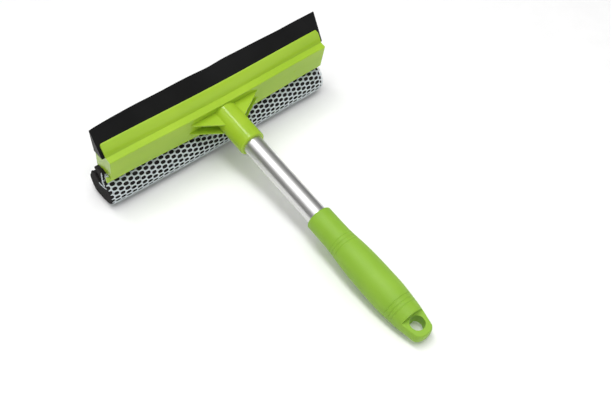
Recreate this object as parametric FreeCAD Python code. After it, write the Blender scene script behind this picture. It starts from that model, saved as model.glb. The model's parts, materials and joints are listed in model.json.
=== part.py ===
import FreeCAD, Part
import math
import os
from FreeCAD import Vector

# A hand squeegee for windows: a moulded head that carries a rubber blade on top and a sponge
# cartridge underneath, on a short aluminium handle with a moulded grip and a hang hole.
#
# Everything is drawn in the tool's own axes, in millimetres: X runs along the head, the handle's
# axis is y < 0 at z = 0, and the blade points up and back. stand_on_table() then turns the whole
# tool to the pose it lies in on a table, with the sponge and the grip touching the surface z = 0.

# --- driving dimensions -----------------------------------------------------------------------
BLADE_LENGTH = 254.0          # ten-inch blade
HEAD_LENGTH = 248.0           # the blade stands out 3 mm at each end
TUBE_RADIUS = 10.0
TUBE_WALL = 1.0
SLIDE_GAP = 0.3               # free play of the blade and of the foam against the head
RAIL_GAP = 0.25               # free play of the cartridge's rail in its slot

# Head: corners of its section, as (y, z). The front face leans back a little towards its foot.
FRONT_TOP = (0.0, 15.2)
FRONT_FOOT = (2.0, -14.9)
FRONT_ROUND = 0.7
LEDGE_BACK = (6.8, 15.5)
LIP_MIDDLE = (10.4, 21.0)
LIP_TOP = (14.9, 25.6)
LIP_CORNER_ROUND = 2.2
REAR_LIP_HEIGHT = 20.0
REAR_FOOT = (27.1, -18.1)
CRADLE_TOP = (16.8, -12.9)
CRADLE_FRONT = (8.2, -13.3)
# The head is crowned: towards its middle the front swells forward, the front foot reaches lower
# and the lip dips along the blade.
FRONT_SWELL = 1.9
FOOT_DROP = 2.2
LIP_DIP = 1.5
CROWN_STATIONS = 8            # spans between the sections that shape the crown

# Rubber blade: a long wedge, thin at the wiping edge.
BLADE_EDGE = (26.5, 40.0)
BLADE_EDGE_THICKNESS = 0.9
BLADE_ROOT_FRONT = (8.45, 14.0)
BLADE_ROOT_REAR = (22.6, 11.3)

# Socket and its gusset ribs
SOCKET_RADIUS = 13.4
SOCKET_END = -46.3
SOCKET_FLOOR = -3.0
SOCKET_LIP_ROUND = 1.6
RIB_REACH = 41.4              # along the head, from the handle's axis
RIB_LENGTH = 17.6             # along the handle, from the front face
RIB_THICKNESS = 1.4
RIB_HEIGHTS = (6.9, -5.6)     # middle planes of the upper and lower pair

# Pockets that core out the head's underside
POCKET_COUNT = 8
POCKET_WEB = 3.0
POCKET_FRONT = 11.0
POCKET_REAR = 23.5
POCKET_TOP = 8.0

# Sponge cartridge: a rail with a T-shaped head, carrying foam in a sleeve of netting
CARTRIDGE_LENGTH = 254.0
CARTRIDGE_OFFSET = -2.0       # it sits this far to one side of the head's middle
LINER_LENGTH = 248.4
LINER_OFFSET = -3.0
RAIL_MIDDLE = 6.0             # y of the rail's web
RAIL_WEB = 2.2
RAIL_SHORT = 1.6              # the rail stops this far inside the foam's ends
RAIL_FOOT = -19.4
RAIL_NECK = -7.0
RAIL_CROWN = -4.2
RAIL_CROWN_WIDTH = 4.8
RAIL_TAB_TOP = -11.8          # top of the rail where it stands out of the head
NET_THICKNESS = 0.8
NET_HEM_FOOT = -22.2
NET_HEM_TOP = -14.3
NET_SHORT = 1.5               # bare foam left at each end of the netting

# Grip, from its open end to the flat hanging tab
GRIP_FRONT = -144.1
GRIP_END = -287.6
GRIP_BORE_END = -251.0
COLLAR_RADIUS = 12.95
COLLAR_END = (-170.0, 13.1)   # y and radius where the swell starts
SWELL = ((-180.0, 13.8), (-194.0, 15.1), (-212.0, 15.85), (-228.0, 16.0), (-243.0, 15.8),
         (-250.8, 15.2), (-264.6, 13.8), (-278.0, 11.5), (-283.0, 10.6))
END_CORNER = (-286.2, 7.6)
END_DISC_RADIUS = 3.4
GROOVES = (-176.2, -179.8, -183.4, -250.8, -254.7, -258.3)
GROOVE_DEPTH = 0.42
GROOVE_WIDTH = 1.4
TAB_SHOULDER = -267.7
TAB_HALF_THICKNESS = 5.85
TAB_ROUND = 0.9               # the tab's long edges are eased
HANG_HOLE_Y = -274.8
HANG_HOLE_RADIUS = 6.95

# Rivet that keeps the tube in the socket, on the underside
RIVET_Y = -32.0
RIVET_RADIUS = 2.0
RIVET_HEAD_RADIUS = 4.0
RIVET_SEAT = -12.9

# Resting pose: the table is a plane that touches the grip's last swell and flattens the foam
REST_TILT = 9.0
GRIP_CONTACT_Y = -264.6
GRIP_CONTACT_RADIUS = 13.82
FOAM_REAR = (37.3, -45.4)


# --- helpers ------------------------------------------------------------------------------------
def table_height(y):
    """Height of the table under the tool at y, in the tool's own axes."""
    return -GRIP_CONTACT_RADIUS - (y - GRIP_CONTACT_Y) * math.tan(math.radians(REST_TILT))


def section_edges(x, start, steps):
    """Edges of a closed outline at x. A step is a point, or (middle, end) for an arc."""
    edges = []
    here = Vector(x, *start)
    for step in steps + [start]:
        if isinstance(step[0], tuple):
            middle = Vector(x, *step[0])
            end = Vector(x, *step[1])
            edges.append(Part.Arc(here, middle, end).toShape())
        else:
            end = Vector(x, *step)
            edges.append(Part.LineSegment(here, end).toShape())
        here = end
    return edges


def bar(x_from, x_to, start, steps):
    """A straight bar along X with the given outline as its section."""
    face = Part.Face(Part.Wire(section_edges(x_from, start, steps)))
    return face.extrude(Vector(x_to - x_from, 0, 0))


def flat_footed_face(x, points):
    """A face at x: one smooth curve through the points, closed by the flat foot it rests on."""
    curve = Part.BSplineCurve()
    curve.interpolate([Vector(x, y, z) for y, z in points])
    foot = Part.LineSegment(Vector(x, *points[-1]), Vector(x, *points[0]))
    return Part.Face(Part.Wire([curve.toShape(), foot.toShape()]))


def rounded_face(x, points):
    """A face at x inside one smooth closed curve through the points."""
    curve = Part.BSplineCurve()
    curve.interpolate([Vector(x, y, z) for y, z in points], PeriodicFlag=True)
    return Part.Face(Part.Wire([curve.toShape()]))


def grown(points, distance):
    """The points moved outward by a distance, for an outline that runs counter-clockwise.

    The two ends of the outline stand on the table, so they drop straight down instead.
    """
    moved = [(points[0][0], points[0][1] - distance)]
    for before, point, after in zip(points, points[1:], points[2:]):
        along = (after[0] - before[0], after[1] - before[1])
        scale = distance / math.hypot(*along)
        moved.append((point[0] + along[1] * scale, point[1] - along[0] * scale))
    moved.append((points[-1][0], points[-1][1] - distance))
    return moved


def block(x_from, x_to, y_from, y_to, z_from, z_to):
    size = (x_to - x_from, y_to - y_from, z_to - z_from)
    return Part.makeBox(*size, Vector(x_from, y_from, z_from))


def rod(radius, y_from, y_to):
    """A cylinder on the handle's axis."""
    return Part.makeCylinder(radius, abs(y_to - y_from), Vector(0, max(y_from, y_to), 0), Vector(0, -1, 0))


def stand_on_table(shape):
    """Turn a finished piece into the resting pose, over the middle of the tool's footprint."""
    tilt = math.radians(REST_TILT)
    grip_reach = GRIP_END * math.cos(tilt)
    foam_reach = FOAM_REAR[0] * math.cos(tilt) - FOAM_REAR[1] * math.sin(tilt)
    lift = GRIP_CONTACT_RADIUS * math.cos(tilt) - GRIP_CONTACT_Y * math.sin(tilt)
    placed = shape.copy()
    placed.rotate(Vector(0, 0, 0), Vector(1, 0, 0), REST_TILT)
    placed.translate(Vector(0, -(grip_reach + foam_reach) / 2, lift))
    return placed


# --- rubber blade ---------------------------------------------------------------------------------
def blade_outline():
    edge_rear = (BLADE_EDGE[0] + BLADE_EDGE_THICKNESS, BLADE_EDGE[1] - 0.3)
    return BLADE_ROOT_FRONT, [BLADE_EDGE, edge_rear, BLADE_ROOT_REAR]


def rubber_blade():
    start, steps = blade_outline()
    return bar(-BLADE_LENGTH / 2, BLADE_LENGTH / 2, start, steps)


def along_blade(distance):
    """A step of that length up the blade's front face, as (y, z)."""
    rise = (BLADE_EDGE[0] - BLADE_ROOT_FRONT[0], BLADE_EDGE[1] - BLADE_ROOT_FRONT[1])
    scale = distance / math.hypot(*rise)
    return rise[0] * scale, rise[1] * scale


def blade_channel():
    """The wedge-shaped space that the blade slides in."""
    start, steps = blade_outline()
    wire = Part.Wire(section_edges(-HEAD_LENGTH, start, steps))
    return Part.Face(wire.makeOffset2D(SLIDE_GAP, 2)).extrude(Vector(2 * HEAD_LENGTH, 0, 0))


# --- head -----------------------------------------------------------------------------------------
def head_section(x):
    """Section of the head's long body at x: front face, ledge, lip, rear wall and cradle."""
    crown = (1 + math.cos(2 * math.pi * x / HEAD_LENGTH)) / 2
    forward = FRONT_SWELL * crown
    dip_y, dip_z = along_blade(-LIP_DIP * crown)
    lip_top = (LIP_TOP[0] + dip_y, LIP_TOP[1] + dip_z)
    start = (FRONT_TOP[0] - forward, FRONT_TOP[1])
    steps = [
        (LEDGE_BACK[0] - forward * 0.7, LEDGE_BACK[1]),
        ((LIP_MIDDLE[0] - forward * 0.6, LIP_MIDDLE[1] + dip_z / 2), lip_top),
        (lip_top[0] + 1.9, lip_top[1] + 0.3),
        (23.4, REAR_LIP_HEIGHT + 0.4),
        (26.4, REAR_LIP_HEIGHT),
        REAR_FOOT,
        (CRADLE_TOP, CRADLE_FRONT),
        (FRONT_FOOT[0] - forward, FRONT_FOOT[1] - FOOT_DROP * crown),
    ]
    return Part.Wire(section_edges(x, start, steps))


def head_bar():
    pitch = HEAD_LENGTH / CROWN_STATIONS
    stations = [index * pitch - HEAD_LENGTH / 2 for index in range(CROWN_STATIONS + 1)]
    body = Part.makeLoft([head_section(x) for x in stations], True)
    eased = body.makeFillet(FRONT_ROUND, front_edges(body))
    return eased.makeFillet(LIP_CORNER_ROUND, lip_corners(eased))


def front_edges(body):
    """The four edges that bound the front face."""
    found = []
    for edge in body.Edges:
        middle = edge.CenterOfMass
        if middle.y < FRONT_FOOT[0] + 0.1:
            found.append(edge)
    return found


def lip_corners(body):
    """The short edges across the top of the front lip, one at each end of the head."""
    found = []
    for edge in body.Edges:
        middle = edge.CenterOfMass
        at_end = abs(abs(middle.x) - HEAD_LENGTH / 2) < 0.01
        on_top = abs(middle.z - LIP_TOP[1]) < 0.3 and middle.y > LIP_TOP[0]
        if at_end and on_top:
            found.append(edge)
    return found


def pockets():
    """Coring pockets, open to the cradle and hidden by the foam."""
    pitch = (HEAD_LENGTH - POCKET_WEB) / POCKET_COUNT
    cuts = []
    for index in range(POCKET_COUNT):
        left = -HEAD_LENGTH / 2 + POCKET_WEB + index * pitch
        cuts.append(block(left, left + pitch - POCKET_WEB, POCKET_FRONT, POCKET_REAR, -30, POCKET_TOP))
    return cuts


def rail_profile(gap, foot):
    """Section of the cartridge's rail: a web with a wider crown, grown by a gap on every side."""
    web = RAIL_WEB / 2 + gap
    crown = RAIL_CROWN_WIDTH / 2 + gap
    start = (RAIL_MIDDLE - web, foot)
    steps = [
        (RAIL_MIDDLE + web, foot),
        (RAIL_MIDDLE + web, RAIL_NECK - gap),
        (RAIL_MIDDLE + crown, RAIL_NECK - gap),
        (RAIL_MIDDLE + crown, RAIL_CROWN + gap),
        (RAIL_MIDDLE - crown, RAIL_CROWN + gap),
        (RAIL_MIDDLE - crown, RAIL_NECK - gap),
        (RAIL_MIDDLE - web, RAIL_NECK - gap),
    ]
    return start, steps


def gusset_ribs():
    """One plate on each side of the handle's axis, both sides of the socket in one piece."""
    plates = []
    for height in RIB_HEIGHTS:
        z = height - RIB_THICKNESS / 2
        corners = [
            Vector(-RIB_REACH, 0.6, z),
            Vector(-RIB_REACH, 3.0, z),
            Vector(RIB_REACH, 3.0, z),
            Vector(RIB_REACH, 0.6, z),
            Vector(SOCKET_RADIUS - 1.4, -RIB_LENGTH, z),
            Vector(-SOCKET_RADIUS + 1.4, -RIB_LENGTH, z),
        ]
        outline = Part.makePolygon(corners + corners[:1])
        plates.append(Part.Face(outline).extrude(Vector(0, 0, RIB_THICKNESS)))
    return plates


def socket():
    tower = rod(SOCKET_RADIUS, 2.0, SOCKET_END)
    lip = [edge for edge in tower.Edges if abs(edge.CenterOfMass.y - SOCKET_END) < 0.1]
    return tower.makeFillet(SOCKET_LIP_ROUND, lip)


def head_body():
    body = head_bar().fuse([socket()] + gusset_ribs())
    slot_start, slot_steps = rail_profile(RAIL_GAP, -25.0)
    cuts = [
        blade_channel(),
        bar(-HEAD_LENGTH, HEAD_LENGTH, slot_start, slot_steps),
        rod(TUBE_RADIUS, SOCKET_FLOOR, SOCKET_END - 1),
        rivet_seat(),
        rivet_hole(),
    ]
    return body.cut(cuts + pockets()).removeSplitter()


# --- sponge cartridge -----------------------------------------------------------------------------
def cartridge_ends(shorter=0.0):
    middle = CARTRIDGE_OFFSET
    half = CARTRIDGE_LENGTH / 2 - shorter
    return middle - half, middle + half


def sponge_rail():
    left, right = cartridge_ends(RAIL_SHORT)
    start, steps = rail_profile(0.0, RAIL_FOOT)
    rail = bar(left, right, start, steps)
    above_tab = block(left - 1, -HEAD_LENGTH / 2, 0, 2 * RAIL_MIDDLE, RAIL_TAB_TOP, 0)
    return rail.cut(above_tab)


def pad_points():
    """Section of the foam pad, counter-clockwise from the rear end of its flat foot.

    It goes round the back, into the fold under the liner, and down the front again.
    """
    return [
        (27.0, table_height(27.0) + NET_THICKNESS),
        (33.4, -55.2),
        FOAM_REAR,
        (35.4, -38.0),
        (32.6, -30.2),
        (29.9, -26.9),
        (26.4, -27.0),
        (20.0, -31.6),
        (14.0, -30.2),
        (10.0, -24.4),
        (7.4, -22.8),
        (2.2, -26.0),
        (-2.1, -32.5),
        (-3.6, -39.0),
        (-2.3, -46.0),
        (3.0, -53.0),
        (12.0, table_height(12.0) + NET_THICKNESS),
    ]


def sponge_pad():
    left, right = cartridge_ends()
    return flat_footed_face(left, pad_points()).extrude(Vector(right - left, 0, 0))


def mesh_cover():
    """The netting as a thin sleeve round the pad, with a hem that rises behind the rail."""
    left, right = cartridge_ends(NET_SHORT)
    inside = flat_footed_face(left, pad_points())
    outside = flat_footed_face(left, grown(pad_points(), NET_THICKNESS))
    sleeve = outside.cut(inside).extrude(Vector(right - left, 0, 0))
    hem_front = RAIL_MIDDLE + RAIL_WEB / 2
    hem = block(left, right, hem_front, hem_front + NET_THICKNESS, NET_HEM_FOOT, NET_HEM_TOP)
    return sleeve.fuse(hem).removeSplitter()


def sponge_liner():
    """The inner layer of foam, curled up into the head's cradle."""
    left = LINER_OFFSET - LINER_LENGTH / 2
    points = [
        (25.8, -19.4),
        (28.6, -20.6),
        (29.0, -23.0),
        (26.6, -25.0),
        (20.2, -30.0),
        (15.8, -28.6),
        (15.0, -22.4),
        (12.4, -17.4),
        (11.8, -14.9),
        (13.0, -13.75),
        (16.8, -13.65),
        (21.6, -15.3),
    ]
    return rounded_face(left, points).extrude(Vector(LINER_LENGTH, 0, 0))


# --- handle ---------------------------------------------------------------------------------------
def handle_tube():
    outside = rod(TUBE_RADIUS, SOCKET_FLOOR, GRIP_BORE_END)
    inside = rod(TUBE_RADIUS - TUBE_WALL, SOCKET_FLOOR + 1, GRIP_BORE_END - 1)
    return outside.cut([inside, rivet_hole()])


def swell_curve():
    """Outline of the grip's long swell, in the plane x = 0."""
    curve = Part.BSplineCurve()
    curve.interpolate([Vector(0, y, radius) for y, radius in (COLLAR_END,) + SWELL])
    return curve


def parameter_at(curve, y):
    """Where the swell's outline passes y, found by halving."""
    low, high = curve.FirstParameter, curve.LastParameter
    while high - low > 1e-9:
        middle = (low + high) / 2
        if curve.value(middle).y > y:
            low = middle
        else:
            high = middle
    return low


def grooved_swell():
    """The swell's outline with its ring grooves: a shallow arc at each, and the swell between."""
    curve = swell_curve()
    edges = []
    start = curve.FirstParameter
    for y in GROOVES:
        before = parameter_at(curve, y + GROOVE_WIDTH / 2)
        after = parameter_at(curve, y - GROOVE_WIDTH / 2)
        surface = curve.value(parameter_at(curve, y))
        bottom = Vector(0, y, surface.z - GROOVE_DEPTH)
        edges.append(curve.toShape(start, before))
        edges.append(Part.Arc(curve.value(before), bottom, curve.value(after)).toShape())
        start = after
    edges.append(curve.toShape(start, curve.LastParameter))
    return edges


def grip_barrel():
    """The grip turned about the handle's axis: straight collar, grooved swell, rounded end."""
    swell_end = Vector(0, *SWELL[-1])
    end_disc = Vector(0, GRIP_END, END_DISC_RADIUS)
    corner = Part.Arc(swell_end, Vector(0, *END_CORNER), end_disc)
    rim = [
        end_disc,
        Vector(0, GRIP_END, 0),
        Vector(0, GRIP_FRONT, 0),
        Vector(0, GRIP_FRONT, COLLAR_RADIUS - 0.65),
        Vector(0, GRIP_FRONT - 0.8, COLLAR_RADIUS),
        Vector(0, *COLLAR_END),
    ]
    edges = [Part.LineSegment(a, b).toShape() for a, b in zip(rim, rim[1:])]
    face = Part.Face(Part.Wire(edges + grooved_swell() + [corner.toShape()]))
    return face.revolve(Vector(0, 0, 0), Vector(0, 1, 0), 360)


def tab_flats():
    """What is cut away above and below the flat hanging tab."""
    upper = block(-30, 30, GRIP_END - 5, TAB_SHOULDER, TAB_HALF_THICKNESS, 30)
    lower = block(-30, 30, GRIP_END - 5, TAB_SHOULDER, -30, -TAB_HALF_THICKNESS)
    return [upper, lower]


def tab_edges(grip):
    """The curved edges round the tab's two flat faces."""
    found = []
    for edge in grip.Edges:
        box = edge.BoundBox
        flat = box.ZMax - box.ZMin < 0.01 and abs(abs(box.ZMax) - TAB_HALF_THICKNESS) < 0.01
        if flat and box.YMin < TAB_SHOULDER - 1:
            found.append(edge)
    return found


def hand_grip():
    grip = grip_barrel().cut(tab_flats())
    grip = grip.makeFillet(TAB_ROUND, tab_edges(grip))
    hole = Part.makeCylinder(HANG_HOLE_RADIUS, 40, Vector(0, HANG_HOLE_Y, -20))
    bore = rod(TUBE_RADIUS, GRIP_FRONT + 1, GRIP_BORE_END)
    return grip.cut([hole, bore])


# --- rivet ----------------------------------------------------------------------------------------
def rivet_hole():
    return Part.makeCylinder(RIVET_RADIUS, 8, Vector(0, RIVET_Y, -16))


def rivet_seat():
    return Part.makeCylinder(RIVET_HEAD_RADIUS + 0.3, 5, Vector(0, RIVET_Y, RIVET_SEAT - 5))


def socket_rivet():
    shank = Part.makeCylinder(RIVET_RADIUS, 5.4, Vector(0, RIVET_Y, RIVET_SEAT))
    upset = Part.makeCone(2.0, 2.9, 1.4, Vector(0, RIVET_Y, RIVET_SEAT + 3.9 + 1.5))
    dome = Part.makeSphere(6.0, Vector(0, RIVET_Y, RIVET_SEAT + 4.4))
    head = dome.common(Part.makeCylinder(RIVET_HEAD_RADIUS, 3, Vector(0, RIVET_Y, RIVET_SEAT - 3)))
    return shank.fuse([upset, head]).removeSplitter()


# --- write every piece ----------------------------------------------------------------------------
PIECES = {
    "head_body": head_body,
    "rubber_blade": rubber_blade,
    "sponge_rail": sponge_rail,
    "sponge_liner": sponge_liner,
    "sponge_pad": sponge_pad,
    "mesh_cover": mesh_cover,
    "handle_tube": handle_tube,
    "hand_grip": hand_grip,
    "socket_rivet": socket_rivet,
}


def main():
    os.makedirs("parts", exist_ok=True)
    for name, make in PIECES.items():
        piece = stand_on_table(make())
        piece.exportStep("parts/" + name + ".step")
        print(name, "solids", len(piece.Solids), "valid", piece.isValid(), "cm3", round(piece.Volume / 1000, 2))


main()
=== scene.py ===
import json
import math
import random

import bmesh
import bpy
from mathutils import Matrix, Vector


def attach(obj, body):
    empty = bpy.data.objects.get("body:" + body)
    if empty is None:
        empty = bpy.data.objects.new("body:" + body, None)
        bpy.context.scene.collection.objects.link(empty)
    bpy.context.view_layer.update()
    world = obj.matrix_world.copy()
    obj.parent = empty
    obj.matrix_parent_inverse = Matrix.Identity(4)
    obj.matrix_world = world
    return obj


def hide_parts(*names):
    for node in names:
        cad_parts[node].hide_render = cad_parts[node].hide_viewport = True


# A window cleaning squeegee, lying on a table on its sponge and its grip. The head, rail, tube,
# grip and rivet are the CAD nodes with real materials. The rubber blade, both layers of foam and
# the netting are modelled here, because they bend, swell and fray.
#
# Lengths in millimetres are in the tool's own axes, as in the CAD: X along the head, the handle's
# axis along Y, and Z up through the blade. on_table() takes them to the frame, in metres.

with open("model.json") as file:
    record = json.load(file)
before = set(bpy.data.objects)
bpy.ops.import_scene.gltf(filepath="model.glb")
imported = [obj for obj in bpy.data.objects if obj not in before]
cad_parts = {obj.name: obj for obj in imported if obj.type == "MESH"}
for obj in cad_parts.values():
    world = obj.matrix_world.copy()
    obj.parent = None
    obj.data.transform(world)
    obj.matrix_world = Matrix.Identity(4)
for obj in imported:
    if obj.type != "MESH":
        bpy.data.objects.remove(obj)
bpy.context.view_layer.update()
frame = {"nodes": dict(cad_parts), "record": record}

MM = 0.001
HANG_HOLE_Y = -274.8          # place of the hang hole along the handle

# Camera, measured from the middle of the footprint, in metres
CAMERA_PLACE = (-0.3153, -0.3939, 0.6489)
CAMERA_AIM = (0.0047, -0.0002, 0.0302)
CAMERA_LENS = 51.69
CAMERA_SHIFT = (-0.0025, -0.0041)


# --- the tool's own axes --------------------------------------------------------------------------
def tool_matrix():
    """From millimetres in the tool's own axes to metres in the frame, read off the hang hole."""
    mount = frame["record"]["mounts"][0]
    tilt = math.atan2(-mount["axis"][1], mount["axis"][2])
    turn = Matrix.Rotation(tilt, 4, "X")
    origin = Vector(mount["pos_m"]) - turn @ Vector((0, HANG_HOLE_Y * MM, 0))
    return Matrix.Translation(origin) @ turn @ Matrix.Scale(MM, 4)


TOOL = tool_matrix()


def on_table(x, y, z):
    return TOOL @ Vector((x, y, z))


def resting(x, y, z, lowest):
    """The place on the table, lifted where a smooth curve has dipped below the lowest height."""
    place = on_table(x, y, z)
    place.z = max(place.z, lowest * MM)
    return place


def smooth_step(value, low, high):
    """0 below low, 1 above high, and an even rise between them."""
    t = min(max((value - low) / (high - low), 0.0), 1.0)
    return t * t * (3 - 2 * t)


def bell(value, middle, width):
    """1 at the middle, falling away smoothly on both sides."""
    return math.exp(-((value - middle) / width) ** 2)


class Path:
    """A smooth curve through points, followed by its length in millimetres."""

    STEPS = 24

    def __init__(self, points):
        ends = [self.mirrored(points[0], points[1])] + points + [self.mirrored(points[-1], points[-2])]
        self.places = []
        for a, b, c, d in zip(ends, ends[1:], ends[2:], ends[3:]):
            for step in range(self.STEPS):
                self.places.append(self.between(a, b, c, d, step / self.STEPS))
        self.places.append(points[-1])
        self.lengths = [0.0]
        for p, q in zip(self.places, self.places[1:]):
            self.lengths.append(self.lengths[-1] + math.dist(p, q))
        self.length = self.lengths[-1]

    @staticmethod
    def mirrored(end, inner):
        return tuple(2 * e - i for e, i in zip(end, inner))

    @staticmethod
    def between(a, b, c, d, t):
        """Catmull-Rom curve from b to c."""
        values = []
        for p, q, r, s in zip(a, b, c, d):
            square = 2 * p - 5 * q + 4 * r - s
            cube = 3 * (q - r) + s - p
            values.append(q + 0.5 * t * (r - p + t * (square + t * cube)))
        return tuple(values)

    def at(self, length):
        """(y, z) at that length along a flat path, and the unit vector to its left."""
        length = min(max(length, 0.0), self.length)
        low, high = 0, len(self.lengths) - 1
        while high - low > 1:
            middle = (low + high) // 2
            if self.lengths[middle] <= length:
                low = middle
            else:
                high = middle
        p, q = self.places[low], self.places[high]
        span = self.lengths[high] - self.lengths[low]
        t = (length - self.lengths[low]) / span
        along = ((q[0] - p[0]) / span, (q[1] - p[1]) / span)
        place = (p[0] + (q[0] - p[0]) * t, p[1] + (q[1] - p[1]) * t)
        return place, (-along[1], along[0])


def mesh_object(name, vertices, faces):
    mesh = bpy.data.meshes.new(name)
    mesh.from_pydata([tuple(v) for v in vertices], [], faces)
    mesh.update()
    piece = bpy.data.objects.new(name, mesh)
    bpy.context.scene.collection.objects.link(piece)
    return piece


def shade_smooth(piece):
    for polygon in piece.data.polygons:
        polygon.use_smooth = True


def apply_modifiers(piece):
    """Replace the piece's mesh by what its modifiers make of it."""
    graph = bpy.context.evaluated_depsgraph_get()
    made = bpy.data.meshes.new_from_object(piece.evaluated_get(graph))
    piece.modifiers.clear()
    piece.data = made


def face_outward(piece):
    mesh = bmesh.new()
    mesh.from_mesh(piece.data)
    bmesh.ops.recalc_face_normals(mesh, faces=mesh.faces)
    mesh.to_mesh(piece.data)
    mesh.free()


# --- camera, floor and light ----------------------------------------------------------------------
FLOOR_HALF = 3.0              # metres
WHITE = (1.0, 1.0, 1.0)
LAMPLIGHT = (1.0, 0.95, 0.86)
LIGHTS = [
    # name, place and aim in metres, size in metres, power in watts, tint
    ("light_ceiling", (-0.17, 0.05, 1.30), (0, 0, 0), (1.20, 1.70), 6.3, WHITE),
    ("light_strip", (-0.09, 0.0, 1.25), (0, 0, 0), (1.40, 0.24), 8.3, WHITE),
    ("light_left", (-1.20, -0.30, 0.60), (0, 0, 0.05), (0.80, 0.80), 0.6, LAMPLIGHT),
    ("light_front", (0.40, -1.30, 0.60), (0, 0, 0.05), (1.40, 0.80), 3.1, WHITE),
]


def add_camera():
    data = bpy.data.cameras.new("camera")
    data.lens = CAMERA_LENS
    data.sensor_width = 36.0
    data.shift_x, data.shift_y = CAMERA_SHIFT
    data.clip_end = 20.0
    camera = bpy.data.objects.new("camera", data)
    camera.location = CAMERA_PLACE
    aim = Vector(CAMERA_AIM) - Vector(CAMERA_PLACE)
    camera.rotation_euler = aim.to_track_quat("-Z", "Y").to_euler()
    bpy.context.scene.collection.objects.link(camera)
    bpy.context.scene.camera = camera


def add_floor():
    half = FLOOR_HALF
    corners = [(-half, -half, 0), (half, -half, 0), (half, half, 0), (-half, half, 0)]
    floor = mesh_object("floor", corners, [(0, 1, 2, 3)])
    material, nodes, link, shader = new_material("floor_paper")
    grain = noise(nodes, link, scale=40.0, detail=3)
    tint = ramp(nodes, link, grain.outputs["Fac"], [
        (0.3, (0.95, 0.95, 0.95)),
        (0.7, (0.98, 0.98, 0.98)),
    ])
    link(tint.outputs["Color"], shader.inputs["Base Color"])
    shader.inputs["Roughness"].default_value = 0.9
    floor.data.materials.append(material)


def add_soft_light(name, place, aim, size, power, tint):
    data = bpy.data.lights.new(name, "AREA")
    data.shape = "RECTANGLE"
    data.size, data.size_y = size
    data.energy = power
    data.color = tint
    light = bpy.data.objects.new(name, data)
    light.location = place
    light.rotation_euler = (Vector(aim) - Vector(place)).to_track_quat("-Z", "Y").to_euler()
    bpy.context.scene.collection.objects.link(light)


def studio_world():
    """A pale ceiling over darker walls, which show as the dark bands in the bare tube."""
    world = bpy.data.worlds.new("studio")
    world.use_nodes = True
    nodes = world.node_tree.nodes
    link = world.node_tree.links.new
    direction = nodes.new("ShaderNodeTexCoord")
    parts = nodes.new("ShaderNodeSeparateXYZ")
    link(direction.outputs["Generated"], parts.inputs["Vector"])
    height = ramp(nodes, link, parts.outputs["Z"], [
        (0.00, (0.16, 0.165, 0.17)),
        (0.45, (0.28, 0.28, 0.28)),
        (0.90, (0.55, 0.55, 0.55)),
    ])
    link(height.outputs["Color"], nodes["Background"].inputs["Color"])
    return world


def add_lights():
    """Soft light from above and in front; the narrow strip gives the streak along the handle."""
    for light in LIGHTS:
        add_soft_light(*light)
    bpy.context.scene.world = studio_world()
    bpy.context.scene.view_settings.view_transform = "Standard"


# --- materials ------------------------------------------------------------------------------------
# The Mix node's sockets for colours, by place, because those for plain numbers have the same names
MIX_FIRST = 6
MIX_SECOND = 7
MIX_RESULT = 2


def new_material(name):
    material = bpy.data.materials.new(name)
    material.use_nodes = True
    tree = material.node_tree
    return material, tree.nodes, tree.links.new, tree.nodes["Principled BSDF"]


def place_node(nodes, link, stretch=(1, 1, 1)):
    """Object coordinates in metres, turned to the tool's own axes and stretched along them."""
    place = nodes.new("ShaderNodeTexCoord")
    mapping = nodes.new("ShaderNodeMapping")
    mapping.vector_type = "TEXTURE"
    mapping.inputs["Rotation"].default_value = TOOL.to_euler()
    mapping.inputs["Scale"].default_value = [1 / share for share in stretch]
    link(place.outputs["Object"], mapping.inputs["Vector"])
    return mapping.outputs["Vector"]


def noise(nodes, link, scale, detail, stretch=(1, 1, 1)):
    node = nodes.new("ShaderNodeTexNoise")
    node.inputs["Scale"].default_value = scale
    node.inputs["Detail"].default_value = detail
    link(place_node(nodes, link, stretch), node.inputs["Vector"])
    return node


def ramp(nodes, link, factor, stops):
    """A colour ramp; stops are pairs of position and (red, green, blue)."""
    node = nodes.new("ShaderNodeValToRGB")
    elements = node.color_ramp.elements
    while len(elements) < len(stops):
        elements.new(0.5)
    for element, (position, color) in zip(elements, stops):
        element.position = position
        element.color = (*color, 1)
    link(factor, node.inputs["Fac"])
    return node


def bump(nodes, link, height, distance, strength, shader, under=None):
    """Relief of that distance in metres, over the bump under it if there is one."""
    node = nodes.new("ShaderNodeBump")
    node.inputs["Distance"].default_value = distance
    node.inputs["Strength"].default_value = strength
    link(height, node.inputs["Height"])
    if under is not None:
        link(under.outputs["Normal"], node.inputs["Normal"])
    link(node.outputs["Normal"], shader.inputs["Normal"])
    return node


def roughness_from(nodes, link, factor, low, high, shader):
    """Roughness from low to high with the factor."""
    node = nodes.new("ShaderNodeMapRange")
    node.inputs["To Min"].default_value = low
    node.inputs["To Max"].default_value = high
    link(factor, node.inputs["Value"])
    link(node.outputs["Result"], shader.inputs["Roughness"])


def let_light_in(shader, weight):
    """Light goes a little way into the green plastic."""
    shader.inputs["Subsurface Weight"].default_value = weight
    shader.inputs["Subsurface Radius"].default_value = (0.6, 1.0, 0.2)
    shader.inputs["Subsurface Scale"].default_value = 0.002


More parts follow.
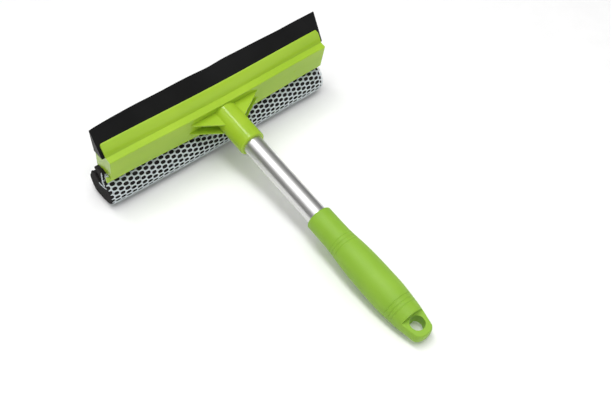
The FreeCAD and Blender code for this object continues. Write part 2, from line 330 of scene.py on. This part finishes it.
def head_plastic():
    """Glossy lime-green moulding with faint flow marks and a trace of orange peel."""
    material, nodes, link, shader = new_material("head_plastic")
    flow = noise(nodes, link, scale=14.0, detail=4, stretch=(1.0, 3.0, 3.0))
    colour = ramp(nodes, link, flow.outputs["Fac"], [
        (0.30, (0.303, 0.485, 0.024)),
        (0.55, (0.332, 0.515, 0.028)),
        (0.75, (0.362, 0.545, 0.033)),
    ])
    link(colour.outputs["Color"], shader.inputs["Base Color"])
    wear = noise(nodes, link, scale=90.0, detail=5)
    roughness_from(nodes, link, wear.outputs["Fac"], 0.22, 0.40, shader)
    peel = noise(nodes, link, scale=420.0, detail=2)
    first = bump(nodes, link, peel.outputs["Fac"], 0.0002, 0.05, shader)
    scratch = noise(nodes, link, scale=60.0, detail=6, stretch=(1.0, 30.0, 30.0))
    bump(nodes, link, scratch.outputs["Fac"], 0.0001, 0.06, shader, first)
    let_light_in(shader, 0.12)
    shader.inputs["Specular IOR Level"].default_value = 0.02
    shader.inputs["Coat Weight"].default_value = 0.60
    shader.inputs["Coat Roughness"].default_value = 0.15
    return material


def grip_plastic():
    """Softer green of the grip, with the fine grain of a spark-eroded mould."""
    material, nodes, link, shader = new_material("grip_plastic")
    mottle = noise(nodes, link, scale=22.0, detail=5)
    colour = ramp(nodes, link, mottle.outputs["Fac"], [
        (0.30, (0.235, 0.435, 0.031)),
        (0.55, (0.262, 0.470, 0.037)),
        (0.75, (0.290, 0.500, 0.045)),
    ])
    link(colour.outputs["Color"], shader.inputs["Base Color"])
    wear = noise(nodes, link, scale=70.0, detail=4)
    roughness_from(nodes, link, wear.outputs["Fac"], 0.46, 0.60, shader)
    grain = noise(nodes, link, scale=1500.0, detail=3)
    bump(nodes, link, grain.outputs["Fac"], 0.00025, 0.35, shader)
    shader.inputs["Specular IOR Level"].default_value = 0.35
    let_light_in(shader, 0.10)
    return material


def tube_metal():
    """Drawn aluminium tube: satin, with fine lines along its length."""
    material, nodes, link, shader = new_material("tube_metal")
    lines = noise(nodes, link, scale=900.0, detail=4, stretch=(1.0, 0.012, 1.0))
    colour = ramp(nodes, link, lines.outputs["Fac"], [
        (0.35, (0.60, 0.597, 0.590)),
        (0.65, (0.68, 0.677, 0.668)),
    ])
    link(colour.outputs["Color"], shader.inputs["Base Color"])
    shader.inputs["Metallic"].default_value = 1.0
    cloud = noise(nodes, link, scale=35.0, detail=4)
    roughness_from(nodes, link, cloud.outputs["Fac"], 0.30, 0.34, shader)
    bump(nodes, link, lines.outputs["Fac"], 0.00001, 0.10, shader)
    return material


def blade_rubber():
    """Matt black rubber with a slight bloom; its two cut ends are painted paler, a painted reflection
    of the light that grazes them.
    """
    material, nodes, link, shader = new_material("blade_rubber")
    bloom = noise(nodes, link, scale=30.0, detail=6)
    moulded = ramp(nodes, link, bloom.outputs["Fac"], [
        (0.35, (0.0050, 0.0050, 0.0055)),
        (0.70, (0.0085, 0.0085, 0.0090)),
    ])
    # The end faces, picked by their normals, get a paler colour: a painted reflection of the light that
    # grazes them.
    end_reflection_mottle = noise(nodes, link, scale=700.0, detail=4)
    painted_end_reflection = ramp(nodes, link, end_reflection_mottle.outputs["Fac"], [
        (0.35, (0.040, 0.040, 0.042)),
        (0.65, (0.085, 0.085, 0.088)),
    ])
    facing = nodes.new("ShaderNodeTexCoord")
    parts = nodes.new("ShaderNodeSeparateXYZ")
    link(facing.outputs["Normal"], parts.inputs["Vector"])
    sideways = nodes.new("ShaderNodeMath")
    sideways.operation = "ABSOLUTE"
    link(parts.outputs["X"], sideways.inputs[0])
    ends = ramp(nodes, link, sideways.outputs["Value"], [(0.90, (0, 0, 0)), (0.97, (1, 1, 1))])
    colour = nodes.new("ShaderNodeMix")
    colour.data_type = "RGBA"
    link(ends.outputs["Color"], colour.inputs["Factor"])
    link(moulded.outputs["Color"], colour.inputs[MIX_FIRST])
    link(painted_end_reflection.outputs["Color"], colour.inputs[MIX_SECOND])
    link(colour.outputs[MIX_RESULT], shader.inputs["Base Color"])
    shader.inputs["Specular IOR Level"].default_value = 0.12
    wear = noise(nodes, link, scale=120.0, detail=4)
    roughness_from(nodes, link, wear.outputs["Fac"], 0.48, 0.62, shader)
    grain = noise(nodes, link, scale=900.0, detail=3)
    bump(nodes, link, grain.outputs["Fac"], 0.0002, 0.25, shader)
    return material


def foam():
    """Black open-cell sponge: pits between thin walls, with painted shade in the pits and painted light
    on the walls.
    """
    material, nodes, link, shader = new_material("foam")
    cells = nodes.new("ShaderNodeTexVoronoi")
    cells.feature = "DISTANCE_TO_EDGE"
    cells.inputs["Scale"].default_value = 950.0
    link(place_node(nodes, link), cells.inputs["Vector"])
    # The ramp paints shade and light: darkest in the middle of each cell, where the pits are, and
    # palest on its thin walls.
    colour = ramp(nodes, link, cells.outputs["Distance"], [
        (0.00, (0.022, 0.019, 0.019)),
        (0.18, (0.011, 0.010, 0.010)),
        (0.45, (0.003, 0.003, 0.003)),
    ])
    link(colour.outputs["Color"], shader.inputs["Base Color"])
    shader.inputs["Roughness"].default_value = 0.9
    lumps = noise(nodes, link, scale=260.0, detail=4)
    first = bump(nodes, link, lumps.outputs["Fac"], 0.0008, 0.5, shader)
    pits = nodes.new("ShaderNodeMath")
    pits.operation = "MULTIPLY"
    pits.inputs[1].default_value = -1.0
    link(cells.outputs["Distance"], pits.inputs[0])
    bump(nodes, link, pits.outputs["Value"], 0.0006, 0.8, shader, first)
    shader.inputs["Specular IOR Level"].default_value = 0.25
    return material


def netting():
    """Bluish-white polyester yarn, with its filaments showing as fine streaks."""
    material, nodes, link, shader = new_material("netting")
    mottle = noise(nodes, link, scale=160.0, detail=4)
    colour = ramp(nodes, link, mottle.outputs["Fac"], [
        (0.30, (0.63, 0.69, 0.715)),
        (0.60, (0.72, 0.785, 0.81)),
        (0.80, (0.81, 0.855, 0.875)),
    ])
    link(colour.outputs["Color"], shader.inputs["Base Color"])
    shader.inputs["Roughness"].default_value = 0.55
    filaments = nodes.new("ShaderNodeTexWave")
    filaments.wave_type = "BANDS"
    filaments.bands_direction = "DIAGONAL"
    filaments.inputs["Scale"].default_value = 900.0
    filaments.inputs["Distortion"].default_value = 6.0
    filaments.inputs["Detail"].default_value = 3.0
    link(place_node(nodes, link), filaments.inputs["Vector"])
    bump(nodes, link, filaments.outputs["Fac"], 0.0002, 0.5, shader)
    shader.inputs["Sheen Weight"].default_value = 0.3
    shader.inputs["Sheen Roughness"].default_value = 0.4
    return material


def dress(piece, material):
    """Give the piece one material: in every slot it has, or in a new slot if it has none."""
    if piece.data.materials:
        for index in range(len(piece.data.materials)):
            piece.data.materials[index] = material
    else:
        piece.data.materials.append(material)


# --- rubber blade ---------------------------------------------------------------------------------
BLADE_HALF = 127.0
BLADE_STATIONS = 127
BLADE_ROOT_FRONT = (8.45, 14.0)
BLADE_ROOT_REAR = (22.6, 11.3)
BLADE_EDGE = (26.5, 40.0)
BLADE_EDGE_REAR = (27.4, 39.7)
BLADE_ROUND = 0.25            # radius of its long corners
BLADE_SHARP = 35              # degrees between faces from which an edge is rounded
BLADE_SHARES = (0, 0.45, 0.8, 1)   # places of a side's points, as shares of the way to the edge
BLADE_DROOP = 2.4             # the left end's edge has sunk this much
BLADE_DROOP_FADE = 21.0
BLADE_DIP = 0.9               # and its middle this much
BLADE_DIP_WIDTH = 14.0
BLADE_RIPPLES = [(0.10, 17.0, 0.6), (0.08, 7.3, 0.0)]   # height, length and phase of each
BLADE_LEAN = (0.35, 23.0, 1.1)


def wave(x, height, length, phase):
    return height * math.sin(x / length + phase)


def blade_wave(x):
    """How far the soft wiping edge stands out (up the blade) and leans (across it) at x."""
    droop = -BLADE_DROOP * math.exp(-(x + BLADE_HALF) / BLADE_DROOP_FADE)
    dip = -BLADE_DIP * bell(x, 0.0, BLADE_DIP_WIDTH)
    ripple = sum(wave(x, *each) for each in BLADE_RIPPLES)
    return droop + dip + ripple, wave(x, *BLADE_LEAN)


def blade_section(x):
    """The blade's outline at x, up its front side and down its rear side."""
    up = Vector((BLADE_EDGE[0] - BLADE_ROOT_FRONT[0], BLADE_EDGE[1] - BLADE_ROOT_FRONT[1])).normalized()
    across = Vector((up.y, -up.x))
    out, lean = blade_wave(x)
    shift = up * out + across * lean
    sides = [
        (BLADE_ROOT_FRONT, BLADE_EDGE, BLADE_SHARES),
        (BLADE_ROOT_REAR, BLADE_EDGE_REAR, BLADE_SHARES[::-1]),
    ]
    section = []
    for root, edge, shares in sides:
        for share in shares:
            y = root[0] + (edge[0] - root[0]) * share + shift.x * share ** 2
            z = root[1] + (edge[1] - root[1]) * share + shift.y * share ** 2
            section.append(on_table(x, y, z))
    return section


def rubber_blade():
    vertices, faces = [], []
    for station in range(BLADE_STATIONS + 1):
        vertices += blade_section(-BLADE_HALF + 2 * BLADE_HALF * station / BLADE_STATIONS)
    ring = 2 * len(BLADE_SHARES)
    for station in range(BLADE_STATIONS):
        for corner in range(ring):
            a = station * ring + corner
            b = station * ring + (corner + 1) % ring
            faces.append((a, b, b + ring, a + ring))
    faces.append(tuple(range(ring - 1, -1, -1)))
    last = BLADE_STATIONS * ring
    faces.append(tuple(range(last, last + ring)))
    piece = mesh_object("wiping_blade", vertices, faces)
    face_outward(piece)
    bevel = piece.modifiers.new("round", "BEVEL")
    bevel.width = BLADE_ROUND * MM
    bevel.segments = 2
    bevel.limit_method = "ANGLE"
    bevel.angle_limit = math.radians(BLADE_SHARP)
    apply_modifiers(piece)
    return piece


# --- sponge ---------------------------------------------------------------------------------------
SPONGE_LEFT = -129.0
SPONGE_RIGHT = 125.0
TABLE_GAP = 0.8               # the netting's thickness under the foam
RIDGE_PRESSED = 2.4           # how far the netting presses down the foam's top rear ridge
SPONGE_STATIONS = 120
OUTLINE_SPACING = 1.2
FOAM_VOXEL = 1.1
FOAM_PITS = 0.5               # depth of the sponge's pits
FOAM_PIT_WIDTH = 2.2

SWELL_MIDDLE = -18.0          # the foam's front bulges most here
SWELL = 1.0
SWELL_WIDTH = 60.0
SWELL_LEFT = -1.7             # and draws back at its ends
SWELL_LEFT_FADE = 13.0
SWELL_RIGHT = -0.5
SWELL_RIGHT_FADE = 5.0
SWELL_OVERALL = -0.2
SWELL_FRONT = (8.0, 26.0)     # from full to nothing between these places along the handle
RIDGE_Y = (24.0, 30.0)        # the ridge sets in between these places along the handle
RIDGE_Z = (-36.0, -28.0)      # and between these heights
RIDGE_FLARE = 3.0             # length over which the ridge springs up past the netting's cut end


def table_height(y):
    """Height of the table's surface under the tool at y, in the tool's own axes."""
    origin = TOOL.inverted() @ Vector((0, 0, 0))
    slope = -TOOL[2][1] / TOOL[2][2]
    return origin.z + slope * (y - origin.y)


def on_foot(y):
    """(y, z) of the foam's flat foot at y, which the netting keeps off the table."""
    return y, table_height(y) + TABLE_GAP


FOOT = [on_foot(12.0), on_foot(19.5), on_foot(27.0)]
BACK = [(33.4, -55.2), (37.3, -45.4), (35.4, -38.0), (32.6, -30.2), (29.9, -26.9)]
FOLD = [(26.4, -27.0), (20.0, -31.6), (14.0, -30.2), (10.0, -24.4)]
FRONT = [(7.4, -22.8), (2.2, -26.0), (-2.1, -32.5), (-3.6, -39.0), (-2.3, -46.0), (3.0, -53.0)]


def swollen(x, y, z):
    """The sponge is fuller in the middle than at its ends; past the netting its back flares up."""
    middle = SWELL * bell(x, SWELL_MIDDLE, SWELL_WIDTH)
    left_end = SWELL_LEFT * math.exp(-(x - SPONGE_LEFT) / SWELL_LEFT_FADE)
    right_end = SWELL_RIGHT * math.exp(-(SPONGE_RIGHT - x) / SWELL_RIGHT_FADE)
    forward = (middle + left_end + right_end + SWELL_OVERALL) * (1 - smooth_step(y, *SWELL_FRONT))
    ridge = smooth_step(y, *RIDGE_Y) * smooth_step(z, *RIDGE_Z)
    pressed = RIDGE_PRESSED * ridge * (1 - bell(x, SPONGE_LEFT, RIDGE_FLARE))
    return y - forward - pressed, z - pressed


def lofted(name, outline, left, right, shape):
    """A closed bar along X; shape(x, y, z) takes the outline's points to its section at x."""
    vertices, faces = [], []
    count = len(outline)
    for station in range(SPONGE_STATIONS + 1):
        x = left + (right - left) * station / SPONGE_STATIONS
        for y, z in outline:
            vertices.append(resting(x, *shape(x, y, z), TABLE_GAP))
    for station in range(SPONGE_STATIONS):
        for index in range(count):
            a = station * count + index
            b = station * count + (index + 1) % count
            faces.append((a, b, b + count, a + count))
    faces.append(tuple(range(count - 1, -1, -1)))
    last = SPONGE_STATIONS * count
    faces.append(tuple(range(last, last + count)))
    piece = mesh_object(name, vertices, faces)
    face_outward(piece)
    return piece


def sampled(path):
    """The places of a closed path at even steps."""
    count = int(path.length / OUTLINE_SPACING)
    return [path.at(path.length * index / count)[0] for index in range(count)]


def made_foam(piece):
    """Soften the cut edges and give the surface the lumps and pits of sponge."""
    remesh = piece.modifiers.new("voxels", "REMESH")
    remesh.mode = "VOXEL"
    remesh.voxel_size = FOAM_VOXEL * MM
    soften = piece.modifiers.new("soften", "SMOOTH")
    soften.factor = 0.5
    soften.iterations = 2
    pores = bpy.data.textures.new(piece.name + "_pores", "VORONOI")
    pores.noise_scale = FOAM_PIT_WIDTH * MM
    pits = piece.modifiers.new("pits", "DISPLACE")
    pits.texture = pores
    pits.texture_coords = "LOCAL"
    pits.strength = FOAM_PITS * MM
    pits.mid_level = 0.6
    apply_modifiers(piece)
    shade_smooth(piece)


def sponge_pad():
    path = Path(FOOT[1:] + BACK + FOLD + FRONT + FOOT[:2])
    piece = lofted("foam_pad", sampled(path), SPONGE_LEFT, SPONGE_RIGHT, swollen)
    made_foam(piece)
    return piece


LINER_LEFT = -127.2
LINER_RIGHT = 121.2
LINER = [
    (25.8, -19.4), (28.6, -20.6), (29.0, -23.0), (26.6, -25.0), (20.2, -30.0), (15.8, -28.6),
    (15.0, -22.4), (12.4, -17.4), (11.8, -14.9), (13.0, -13.75), (16.8, -13.65), (21.6, -15.3),
]


def straight(_x, y, z):
    """The liner, gripped by the head's cradle, keeps one section along its whole length."""
    return y, z


def sponge_liner():
    path = Path(LINER + LINER[:1])
    piece = lofted("foam_liner", sampled(path), LINER_LEFT, LINER_RIGHT, straight)
    made_foam(piece)
    return piece


# --- netting --------------------------------------------------------------------------------------
NET_SEED = 7                  # for the netting's small irregularities
NET_LEFT = -128.6
NET_HEM_DRAWN = 3.2           # the cut end is drawn in this much at the hem
NET_HEM = (4.0, 12.0)         # which reaches this far from the netting's edges
NET_BACK_DRAWN = 6.0          # and this much at the foam's back
NET_BACK = (12.0, 18.0)       # which begins between these places along the handle
STUB = 1.2                    # a strand stands this far past the last whole cell
STUB_UNEVEN = 0.5
NET_RIGHT = 126.0             # here the netting turns in over the foam's right end
NET_TURNED_IN = 3.0
FIRST_COLUMN = -134.3         # a column of cells that the cut takes away
NET_COLUMN = 5.87             # cell centre to cell centre along the head
NET_ROW = 4.93                # and round the foam; every second column is half a cell lower
SPARE_BEFORE = 2              # cells laid before and after the foam, for the trim to take away
SPARE_AFTER = 3
ROW_BOW = 4.85                # how far round the foam the first row starts, in the bow's middle
ROW_BOW_MIDDLE = -22.0
ROW_BOW_REACH = 100.0
ROW_BOW_FALL = 1.9            # at that reach from the bow's middle
ROW_HITCH = 3.0               # the rows are hitched up under the socket
ROW_HITCH_MIDDLE = -3.0
ROW_HITCH_WIDTH = 23.0
CELL_FLAT = 2.15              # half the length of a cell's flat walls
HOLE_HALF_WIDTH = 3.00
HOLE_HALF_FLAT = 2.45
HOLE_HALF_HEIGHT = 2.17
HOLE_SIZES = (0.93, 1.05)
HOLE_LEAN = 0.25
YARN_HIGH = 0.75              # crown of a strand over the foam
YARN_LOW = 0.25               # and the strand's sides
YARN_THICK = 0.35
YARN_WOBBLE = 0.22            # how far a strand's corners stray along the foam
YARN_UNEVEN = 0.1             # and out from it
NET_LOWEST = 0.40             # above the table, before the yarn is given its thickness


def net_path():
    """Round the foam: from the hem down the front, under, up the back, into the fold and the hem."""
    hem_front = [(8.9, -14.2), (8.6, -18.5)]
    hem_rear = [(9.9, -19.0), (10.1, -14.2)]
    return Path(hem_front + FRONT + FOOT + BACK + FOLD + hem_rear)


def row_bow(x):
    """The rows bow: they lie lower round the foam in the middle than at its ends."""
    hitch = ROW_HITCH * bell(x, ROW_HITCH_MIDDLE, ROW_HITCH_WIDTH)
    return ROW_BOW - ROW_BOW_FALL * ((x - ROW_BOW_MIDDLE) / ROW_BOW_REACH) ** 2 - hitch


def six_sided(half_width, half_flat, half_height):
    """The corners of a cell with points at both ends and flat walls above and below."""
    return [
        (-half_width, 0), (-half_flat, -half_height), (half_flat, -half_height),
        (half_width, 0), (half_flat, half_height), (-half_flat, half_height),
    ]


def net_lattice(path, chance):
    """The netting laid flat: (x, length round the foam, height) of its yarns, as a bmesh."""
    mesh = bmesh.new()
    corners = {}

    def stray(reach):
        return chance.uniform(-reach, reach)

    def corner(x, s):
        """The corner that neighbouring cells share there."""
        key = (round(x, 2), round(s, 2))
        if key not in corners:
            wobble = Vector((stray(YARN_WOBBLE), stray(YARN_WOBBLE), 0))
            corners[key] = mesh.verts.new(Vector((x, s, YARN_HIGH + stray(YARN_UNEVEN))) + wobble)
        return corners[key]

    columns = int((NET_RIGHT - FIRST_COLUMN) / NET_COLUMN) + SPARE_AFTER
    rows = int(path.length / NET_ROW) + SPARE_AFTER
    outer = six_sided(NET_COLUMN - CELL_FLAT, CELL_FLAT, 0.5 * NET_ROW)
    inner = six_sided(HOLE_HALF_WIDTH, HOLE_HALF_FLAT, HOLE_HALF_HEIGHT)
    for column in range(columns):
        x = FIRST_COLUMN + column * NET_COLUMN
        for row in range(-SPARE_BEFORE, rows):
            s = (row + 0.5 * (column % 2)) * NET_ROW + row_bow(x)
            ring = [corner(x + dx, s + ds) for dx, ds in outer]
            size = chance.uniform(*HOLE_SIZES)
            lean = stray(HOLE_LEAN)
            hole = []
            for dx, ds in inner:
                hole.append(mesh.verts.new((x + dx * size + lean * ds / 2, s + ds * size, YARN_LOW)))
            for index in range(len(ring)):
                after = (index + 1) % len(ring)
                mesh.faces.new((ring[index], ring[after], hole[after], hole[index]))
    return mesh


def net_left(path, s):
    """Where the cut netting starts: drawn in at the hem, and more at the foam's back."""
    (y, _), _ = path.at(s)
    hem = 1 - smooth_step(min(s, path.length - s), *NET_HEM)
    back = smooth_step(y, *NET_BACK)
    return NET_LEFT + NET_HEM_DRAWN * hem + NET_BACK_DRAWN * back


def trim_net(mesh, path, chance):
    """Cut the flat netting to the foam's length, with uneven stubs of yarn at both ends."""
    loose = []
    for face in mesh.faces:
        centre = face.calc_center_median()
        left = net_left(path, centre.y) - STUB
        right = NET_RIGHT + NET_TURNED_IN
        if centre.x < left or centre.x > right or centre.y < 0 or centre.y > path.length:
            loose.append(face)
    bmesh.ops.delete(mesh, geom=loose, context="FACES")
    for vertex in mesh.verts:
        end = net_left(path, vertex.co.y) + chance.uniform(-STUB_UNEVEN, STUB_UNEVEN)
        vertex.co.x = max(vertex.co.x, end)
        if vertex.co.x > NET_RIGHT:
            vertex.co.z -= vertex.co.x - NET_RIGHT
            vertex.co.x = NET_RIGHT


LOOSE_YARN = 0.42             # half the thickness of a loose strand at the cut end
LOOSE_SIDES = 6
LOOSE_STEP = 6                # a strand has a ring of corners at every sixth place of its path
LOOSE_YARNS = [
    # along the selvage
    [(-127.0, 14.8, -14.7), (-127.7, 14.0, -19.0), (-128.7, 12.0, -22.5), (-129.3, 9.6, -25.0),
     (-129.6, 7.0, -25.5)],
    # a zigzag beside it
    [(-127.5, 14.6, -15.2), (-127.7, 12.9, -16.6), (-127.8, 14.1, -18.0), (-128.0, 12.2, -19.3),
     (-128.3, 13.2, -20.8), (-128.5, 11.0, -21.6), (-128.9, 11.8, -23.2), (-129.0, 9.4, -23.4),
     (-129.3, 9.6, -25.0), (-129.3, 7.4, -24.4)],
    # over the rail's end
    [(-127.5, 7.0, -11.6), (-126.0, 6.3, -11.3), (-124.6, 5.5, -11.2)],
    # along the foam's top edge
    [(-129.7, 17.4, -31.5), (-129.8, 12.7, -30.0), (-129.7, 7.5, -28.2), (-129.2, 4.6, -27.2)],
]


def add_yarn(mesh, points):
    """A loose strand: a thin six-sided bar along a smooth curve through the points."""
    places = [on_table(*place) for place in Path(points).places[::LOOSE_STEP]]
    rings = []
    for before, place, after in zip(places[:1] + places, places, places[1:] + places[-1:]):
        along = (after - before).normalized()
        side = along.cross(Vector((1, 0, 0))).normalized() * LOOSE_YARN * MM
        ring = []
        for corner in range(LOOSE_SIDES):
            turn = Matrix.Rotation(math.tau * corner / LOOSE_SIDES, 3, along)
            ring.append(mesh.verts.new(place + turn @ side))
        rings.append(ring)
    for ring, after in zip(rings, rings[1:]):
        for corner in range(LOOSE_SIDES):
            beside = (corner + 1) % LOOSE_SIDES
            mesh.faces.new((ring[corner], ring[beside], after[beside], after[corner]))
    mesh.faces.new(rings[0][::-1])
    mesh.faces.new(rings[-1])


def wrap_net(piece, path):
    """Take the flat netting's (x, length, height) to its place round the foam."""
    for vertex in piece.data.vertices:
        x, s, height = vertex.co
        (y, z), inward = path.at(s)
        y, z = swollen(x, y, z)
        vertex.co = resting(x, y - inward[0] * height, z - inward[1] * height, NET_LOWEST)


def add_loose_yarns(piece):
    strands = bmesh.new()
    strands.from_mesh(piece.data)
    for points in LOOSE_YARNS:
        add_yarn(strands, points)
    strands.to_mesh(piece.data)
    strands.free()


def mesh_cover():
    """The netting, and its flat length from hem to hem."""
    chance = random.Random(NET_SEED)
    path = net_path()
    flat = net_lattice(path, chance)
    trim_net(flat, path, chance)
    piece = mesh_object("net_sleeve", [], [])
    flat.to_mesh(piece.data)
    flat.free()
    smooth = piece.modifiers.new("round", "SUBSURF")
    smooth.levels = 2
    smooth.render_levels = 2
    apply_modifiers(piece)
    wrap_net(piece, path)
    solid = piece.modifiers.new("yarn", "SOLIDIFY")
    solid.thickness = YARN_THICK * MM
    solid.offset = -1.0
    apply_modifiers(piece)
    add_loose_yarns(piece)
    shade_smooth(piece)
    return piece, path.length


# --- put it together ------------------------------------------------------------------------------
def main():
    add_camera()
    add_floor()
    add_lights()

    green, grip, metal = head_plastic(), grip_plastic(), tube_metal()
    rubber, sponge, net = blade_rubber(), foam(), netting()
    nodes = frame["nodes"]
    dress(nodes["head_body"], green)
    dress(nodes["sponge_rail"], green)
    dress(nodes["hand_grip"], grip)
    dress(nodes["handle_tube"], metal)
    dress(nodes["socket_rivet"], metal)

    blade = rubber_blade()
    dress(blade, rubber)
    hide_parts("rubber_blade")
    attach(blade, "blade")

    pad = sponge_pad()
    dress(pad, sponge)
    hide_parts("sponge_pad")
    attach(pad, "sponge_cartridge")

    liner = sponge_liner()
    dress(liner, sponge)
    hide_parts("sponge_liner")
    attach(liner, "sponge_cartridge")

    cover, round_length = mesh_cover()
    dress(cover, net)
    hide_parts("mesh_cover")
    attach(cover, "sponge_cartridge")


main()
